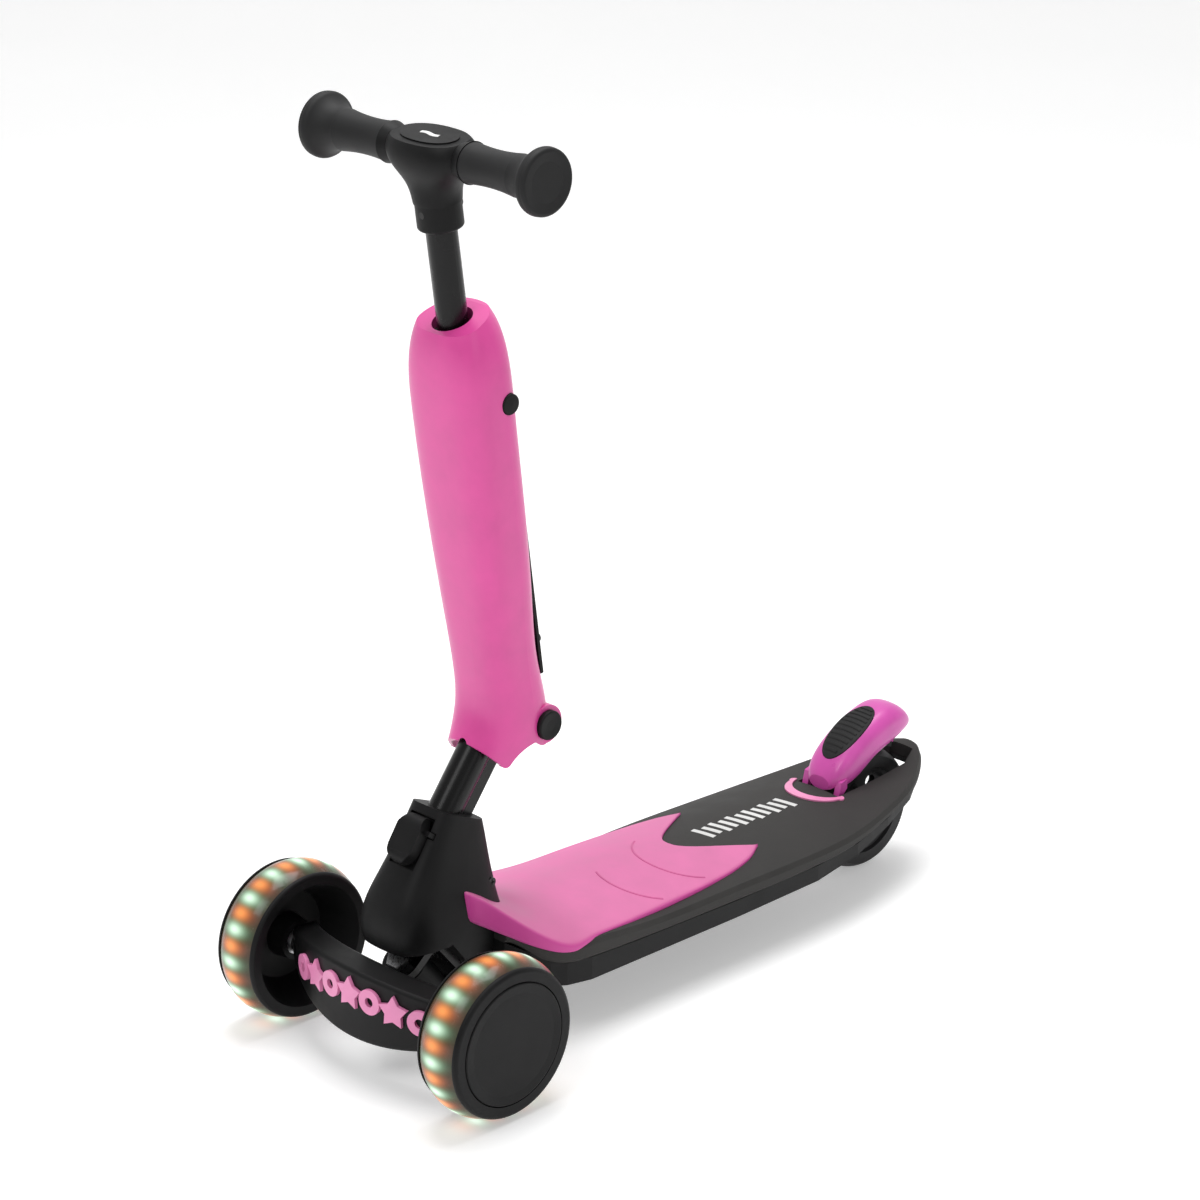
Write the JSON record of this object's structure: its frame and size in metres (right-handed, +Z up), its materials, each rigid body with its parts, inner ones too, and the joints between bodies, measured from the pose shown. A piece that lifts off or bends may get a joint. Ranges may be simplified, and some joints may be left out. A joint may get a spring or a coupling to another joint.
{
  "type": "kick scooter",
  "caption": "Toddler's lean-to-steer kick scooter with lit front wheels, foot brake, height-adjustable bar and a casing that folds into a seat.",
  "frame": {"origin": "on the floor under the middle of the scooter's bounding box", "axes": "+Z up; -Y the way it rides; +X the rider's left"},
  "size_m": [0.258, 0.62, 0.6846],
  "materials": {
    "pink_gloss": "satin moulded casing",
    "pink_soft": "soft textured pad",
    "pink_trim": "raised glossy trim",
    "magenta_plastic": "satin moulding",
    "black_plastic": "fine grained moulding",
    "deck_plastic": "grained standing surface",
    "inner_nylon": "plain nylon",
    "black_rubber": "matt rubber",
    "clear_tread": "milky translucent polyurethane, lit from inside",
    "rear_tread": "solid polyurethane tread",
    "black_steel": "satin black powder coat",
    "cast_aluminium": "as cast",
    "bright_steel": "zinc plated",
    "black_screws": "blackened steel",
    "magnet": "nickel plated magnet",
    "lamp_board": "circuit board"
  },
  "bodies": {
    "frame": {"deck_chassis": "black_plastic", "deck_shell": "deck_plastic", "deck_pad": "pink_soft", "deck_smile": "pink_trim", "deck_screws": "black_screws", "head_housing": "black_plastic", "housing_screws": "black_screws", "release_spring": "bright_steel", "steer_bracket": "black_steel", "kingpin_bolt": "bright_steel", "kingpin_nut": "bright_steel", "kingpin_washer": "bright_steel", "centring_rubber": "black_rubber", "rear_axle_bolt": "bright_steel", "rear_axle_nut": "bright_steel", "rear_spacers": "bright_steel", "brake_pin": "bright_steel", "brake_spring": "bright_steel"},
    "front_axle": {"axle_beam": "black_plastic", "beam_badges": "pink_trim", "kingpin_bush": "inner_nylon", "front_axle_bolts": "bright_steel", "front_magnets": "magnet"},
    "front_wheel_left": {"front_left_tyre": "clear_tread", "front_left_core": "black_plastic", "front_left_cap": "black_plastic", "front_left_bearings": "bright_steel", "front_left_led_ring": "lamp_board"},
    "front_wheel_right": {"front_right_tyre": "clear_tread", "front_right_core": "black_plastic", "front_right_cap": "black_plastic", "front_right_bearings": "bright_steel", "front_right_led_ring": "lamp_board"},
    "rear_wheel": {"rear_tyre": "rear_tread", "rear_core": "inner_nylon", "rear_bearings": "bright_steel"},
    "brake": {"brake_fender": "magenta_plastic", "brake_tread": "black_rubber", "brake_shoe": "black_rubber"},
    "release": {"release_button": "black_plastic"},
    "stem": {"stem_tube": "black_steel", "stem_key_rail": "black_steel", "stem_end_plug": "inner_nylon", "fold_yoke": "cast_aluminium", "fold_pin": "bright_steel", "fold_knobs": "black_plastic"},
    "seat": {"seat_shell": "pink_gloss", "seat_back_cover": "black_plastic", "cover_screws": "black_screws", "tube_guide": "inner_nylon", "height_spring": "bright_steel"},
    "height_release": {"height_button": "black_plastic"},
    "handlebar": {"handlebar_tube": "black_steel", "tube_end_plug": "inner_nylon", "t_head": "black_plastic", "t_head_cap": "black_plastic", "t_head_bolt": "black_screws", "crossbar": "bright_steel", "grip_left": "black_rubber", "grip_right": "black_rubber"}
  },
  "joints": [
    {"name": "steer_lean", "type": "hinge", "parent": "frame", "child": "front_axle", "pos_m": [0, -0.226, 0.06], "axis": [0, -0.6428, 0.766], "range_deg": [-12, 12], "stiffness_Nm_per_rad": 60},
    {"name": "front_left_spin", "type": "hinge", "parent": "front_axle", "child": "front_wheel_left", "pos_m": [0.108, -0.25, 0.06], "axis": [1, 0, 0], "continuous": true},
    {"name": "front_right_spin", "type": "hinge", "parent": "front_axle", "child": "front_wheel_right", "pos_m": [-0.108, -0.25, 0.06], "axis": [1, 0, 0], "continuous": true},
    {"name": "rear_spin", "type": "hinge", "parent": "frame", "child": "rear_wheel", "pos_m": [0, 0.249, 0.05], "axis": [1, 0, 0], "continuous": true},
    {"name": "brake_press", "type": "hinge", "parent": "frame", "child": "brake", "pos_m": [0, 0.1925, 0.0685], "axis": [-1, 0, 0], "range_deg": [0, 2.2], "stiffness_Nm_per_rad": 4, "springref_deg": -2.86},
    {"name": "release_press", "type": "slide", "parent": "frame", "child": "release", "axis": [0, 0.7986, -0.6018], "range_m": [0, 0.003], "stiffness_N_per_m": 400, "springref_m": -0.002},
    {"name": "stem_pull", "type": "slide", "parent": "frame", "child": "stem", "axis": [0, 0.6018, 0.7986], "range_m": [0, 0.04]},
    {"name": "seat_fold", "type": "hinge", "parent": "stem", "child": "seat", "pos_m": [0, -0.125, 0.235], "axis": [-1, 0, 0], "range_deg": [0, 98.5]},
    {"name": "height_press", "type": "slide", "parent": "seat", "child": "height_release", "axis": [-1, 0, 0], "range_m": [0, 0.0035], "stiffness_N_per_m": 400, "springref_m": -0.002},
    {"name": "handlebar_height", "type": "slide", "parent": "seat", "child": "handlebar", "axis": [0, -0.1478, 0.989], "range_m": [-0.05, 0.05]}
  ]
}
